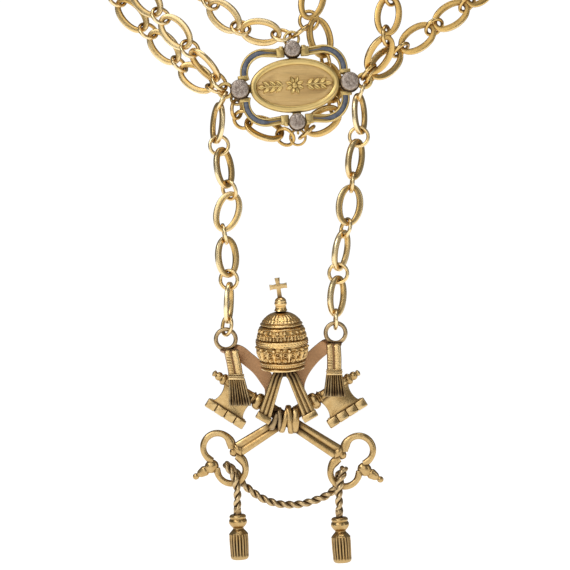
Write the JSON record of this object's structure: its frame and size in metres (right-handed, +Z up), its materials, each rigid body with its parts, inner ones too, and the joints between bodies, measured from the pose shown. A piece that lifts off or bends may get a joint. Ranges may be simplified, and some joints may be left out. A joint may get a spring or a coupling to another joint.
{
  "type": "chain of office",
  "caption": "Gilt bronze chain of office: strands of oval and round links, oval plaque in a pierced enamelled frame, drop chains, and a swinging pendant of tiara and crossed keys with tassels",
  "frame": {"origin": "middle of the nape, on the line of the middle strand", "axes": "+Z up, +X to the viewer's right, +Y from the chest to the nape"},
  "size_m": [0.1965, 0.1389, 0.4447],
  "materials": {
    "gilt_bronze": "antique gilt, tarnished in the hollows",
    "pale_gilt": "satin gilt, worn pale on the edges",
    "tarnished_brass": "dark brass with bright ridges",
    "blue_enamel": "blue-grey enamel, glossy",
    "silver_stud": "rough silvery metal"
  },
  "bodies": {
    "chain": {"strand_outer": "pale_gilt", "strand_middle": "pale_gilt", "strand_inner": "pale_gilt", "drop_chain_left": "pale_gilt", "drop_chain_right": "pale_gilt", "under_chain": "pale_gilt", "medallion_frame": "gilt_bronze", "plaque": "gilt_bronze", "enamel_upper_left": "blue_enamel", "enamel_upper_right": "blue_enamel", "enamel_lower_left": "blue_enamel", "enamel_lower_right": "blue_enamel", "stud_left": "silver_stud", "stud_right": "silver_stud", "stud_top": "silver_stud", "stud_bottom": "silver_stud"},
    "pendant": {"tiara": "gilt_bronze", "tiara_cross": "gilt_bronze", "stay_left": "gilt_bronze", "stay_right": "gilt_bronze", "key_front": "gilt_bronze", "key_rear": "gilt_bronze", "lappet_left": "gilt_bronze", "lappet_right": "gilt_bronze", "swag_cord": "tarnished_brass", "tassel_left": "gilt_bronze", "tassel_right": "gilt_bronze"}
  },
  "joints": [
    {"name": "pendant_swing", "type": "hinge", "parent": "chain", "child": "pendant", "pos_m": [-0.0015, -0.125, -0.35308], "axis": [0.9983, 0, 0.0576], "range_deg": [-35, 35]}
  ]
}
